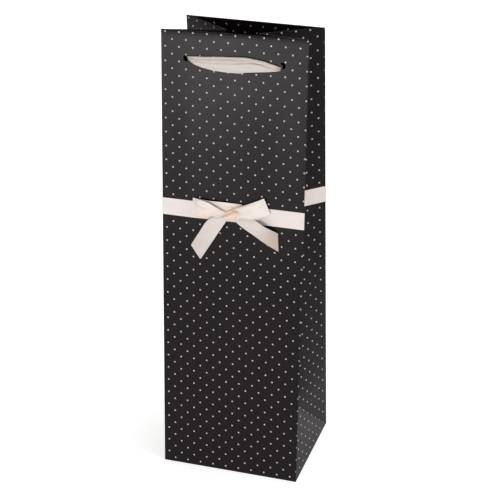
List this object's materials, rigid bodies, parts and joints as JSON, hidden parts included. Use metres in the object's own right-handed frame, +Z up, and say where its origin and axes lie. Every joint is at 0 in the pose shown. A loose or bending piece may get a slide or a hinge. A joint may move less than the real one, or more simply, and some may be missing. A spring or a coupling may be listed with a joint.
{
  "type": "bottle gift bag",
  "caption": "Tall folded paper gift bag for a bottle, with side gussets, ribbon handles, a waist ribbon and a bow.",
  "frame": {"origin": "middle of the base, on the surface that the bag stands on", "axes": "+X to the right across the front panel, +Y towards the back panel, +Z up"},
  "size_m": [0.11, 0.0949, 0.3496],
  "materials": {
    "printed_paper": "matt charcoal black with a fine pale dot print",
    "grey_card": "plain grey board",
    "satin_ribbon": "pale blush satin with a fine weave",
    "bow_ribbon_centre": "peach satin, gathered",
    "glue": "clear hot-melt glue"
  },
  "bodies": {
    "base": {"bottom_front_flap": "printed_paper", "bottom_back_flap": "printed_paper", "bottom_left_flap": "printed_paper", "bottom_right_flap": "printed_paper", "bottom_board": "grey_card"},
    "front_panel": {"front_panel": "printed_paper", "front_top_card": "grey_card", "front_top_hem": "printed_paper", "front_handle_ribbon": "satin_ribbon", "front_left_handle_knot": "satin_ribbon", "front_right_handle_knot": "satin_ribbon", "waist_ribbon_front": "satin_ribbon", "bow_glue_dot": "glue", "bow_knot": "bow_ribbon_centre", "bow_left_loop": "satin_ribbon", "bow_right_loop": "satin_ribbon", "bow_left_tail": "satin_ribbon", "bow_right_tail": "satin_ribbon"},
    "back_panel": {"back_panel": "printed_paper", "back_top_card": "grey_card", "back_top_hem": "printed_paper", "back_handle_ribbon": "satin_ribbon", "back_left_handle_knot": "satin_ribbon", "back_right_handle_knot": "satin_ribbon", "waist_ribbon_back": "satin_ribbon", "waist_ribbon_lap": "satin_ribbon", "side_seam_flap": "printed_paper"},
    "left_base_triangle": {"left_base_triangle": "printed_paper"},
    "right_base_triangle": {"right_base_triangle": "printed_paper"},
    "left_gusset_front": {"left_gusset_front": "printed_paper", "left_gusset_front_hem": "printed_paper", "left_gusset_front_ribbon": "satin_ribbon"},
    "left_gusset_back": {"left_gusset_back": "printed_paper", "left_gusset_back_hem": "printed_paper", "left_gusset_back_ribbon": "satin_ribbon"},
    "right_gusset_front": {"right_gusset_front": "printed_paper", "right_gusset_front_hem": "printed_paper", "right_gusset_front_ribbon": "satin_ribbon"},
    "right_gusset_back": {"right_gusset_back": "printed_paper", "right_gusset_back_hem": "printed_paper", "right_gusset_back_ribbon": "satin_ribbon"}
  },
  "joints": [
    {"name": "front_panel_fold", "type": "hinge", "parent": "base", "child": "front_panel", "pos_m": [0, -0.0475, 0], "axis": [-1, 0, 0], "range_deg": [-1.2, 2.4]},
    {"name": "back_panel_fold", "type": "hinge", "parent": "base", "child": "back_panel", "pos_m": [0, 0.0475, 0], "axis": [1, 0, 0], "range_deg": [-1.2, 2.4]},
    {"name": "left_triangle_fold", "type": "hinge", "parent": "base", "child": "left_base_triangle", "pos_m": [-0.055, 0, 0], "axis": [0, 1, 0], "range_deg": [-3, 6]},
    {"name": "right_triangle_fold", "type": "hinge", "parent": "base", "child": "right_base_triangle", "pos_m": [0.055, 0, 0], "axis": [0, -1, 0], "range_deg": [-3, 6]},
    {"name": "left_gusset_front_fold", "type": "hinge", "parent": "front_panel", "child": "left_gusset_front", "pos_m": [-0.055, -0.0475, 0], "axis": [0, -0.0454, -0.999], "range_deg": [-9.96, 19.92], "deforming": ["left_gusset_front", "left_gusset_front_hem", "left_gusset_front_ribbon"]},
    {"name": "left_gusset_back_fold", "type": "hinge", "parent": "back_panel", "child": "left_gusset_back", "pos_m": [-0.055, 0.0475, 0], "axis": [0, -0.0872, 0.9962], "range_deg": [-9.96, 19.92], "deforming": ["left_gusset_back", "left_gusset_back_hem", "left_gusset_back_ribbon"]},
    {"name": "right_gusset_front_fold", "type": "hinge", "parent": "front_panel", "child": "right_gusset_front", "pos_m": [0.055, -0.0475, 0], "axis": [0, 0.0454, 0.999], "range_deg": [-9.96, 19.92], "deforming": ["right_gusset_front", "right_gusset_front_hem", "right_gusset_front_ribbon"]},
    {"name": "right_gusset_back_fold", "type": "hinge", "parent": "back_panel", "child": "right_gusset_back", "pos_m": [0.055, 0.0475, 0], "axis": [0, 0.0872, -0.9962], "range_deg": [-9.96, 19.92], "deforming": ["right_gusset_back", "right_gusset_back_hem", "right_gusset_back_ribbon"]}
  ],
  "couplings": [
    {"joint": "back_panel_fold", "follows": "front_panel_fold", "ratio": 1},
    {"joint": "left_triangle_fold", "follows": "front_panel_fold", "ratio": 2.5},
    {"joint": "right_triangle_fold", "follows": "front_panel_fold", "ratio": 2.5},
    {"joint": "left_gusset_front_fold", "follows": "front_panel_fold", "ratio": 8.3},
    {"joint": "left_gusset_back_fold", "follows": "front_panel_fold", "ratio": 8.3},
    {"joint": "right_gusset_front_fold", "follows": "front_panel_fold", "ratio": 8.3},
    {"joint": "right_gusset_back_fold", "follows": "front_panel_fold", "ratio": 8.3}
  ]
}
